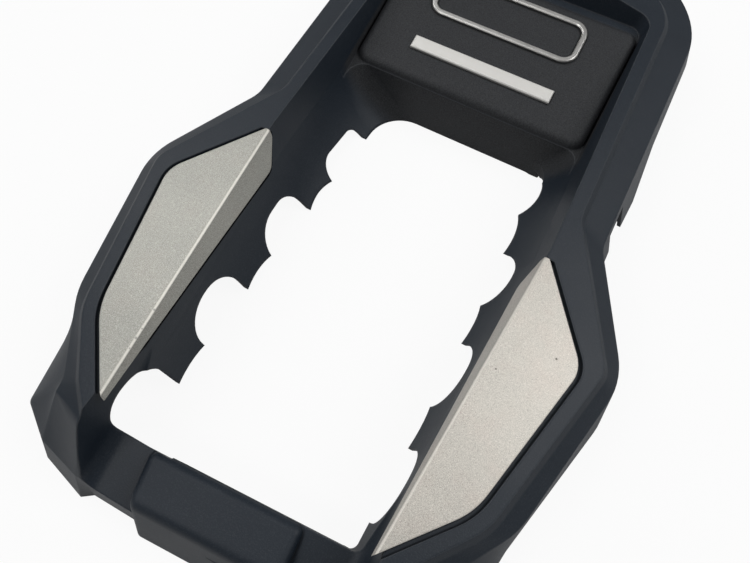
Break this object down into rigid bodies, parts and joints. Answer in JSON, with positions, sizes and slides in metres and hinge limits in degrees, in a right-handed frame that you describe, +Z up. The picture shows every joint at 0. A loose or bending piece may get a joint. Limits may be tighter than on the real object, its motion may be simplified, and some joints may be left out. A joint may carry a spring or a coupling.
{
  "type": "engine cover",
  "caption": "moulded V8 engine cover: a dark frame with a scalloped central opening, silver trim inserts, a raised rear pad with bright trim, and rubber stud grommets below",
  "frame": {"origin": "middle of the bounding box in plan, at the resting plane under the cover", "axes": "+X to the right seen from the front of the car, +Y to the rear of the car along the longest side, +Z up"},
  "size_m": [0.4032, 0.644, 0.088],
  "materials": {
    "cover_plastic": "fine moulded grain, satin",
    "silver_paint": "silver paint with fine grain on moulded plastic",
    "bright_trim": "bright plating",
    "satin_trim": "satin silver paint",
    "grommet_rubber": "moulded rubber"
  },
  "bodies": {
    "root": {"cover": "cover_plastic", "insert_left": "silver_paint", "insert_right": "silver_paint", "badge_frame": "bright_trim", "badge_bar": "satin_trim", "grommet_rear_left": "grommet_rubber", "grommet_rear_right": "grommet_rubber", "grommet_front_left": "grommet_rubber", "grommet_front_right": "grommet_rubber"}
  },
  "joints": []
}
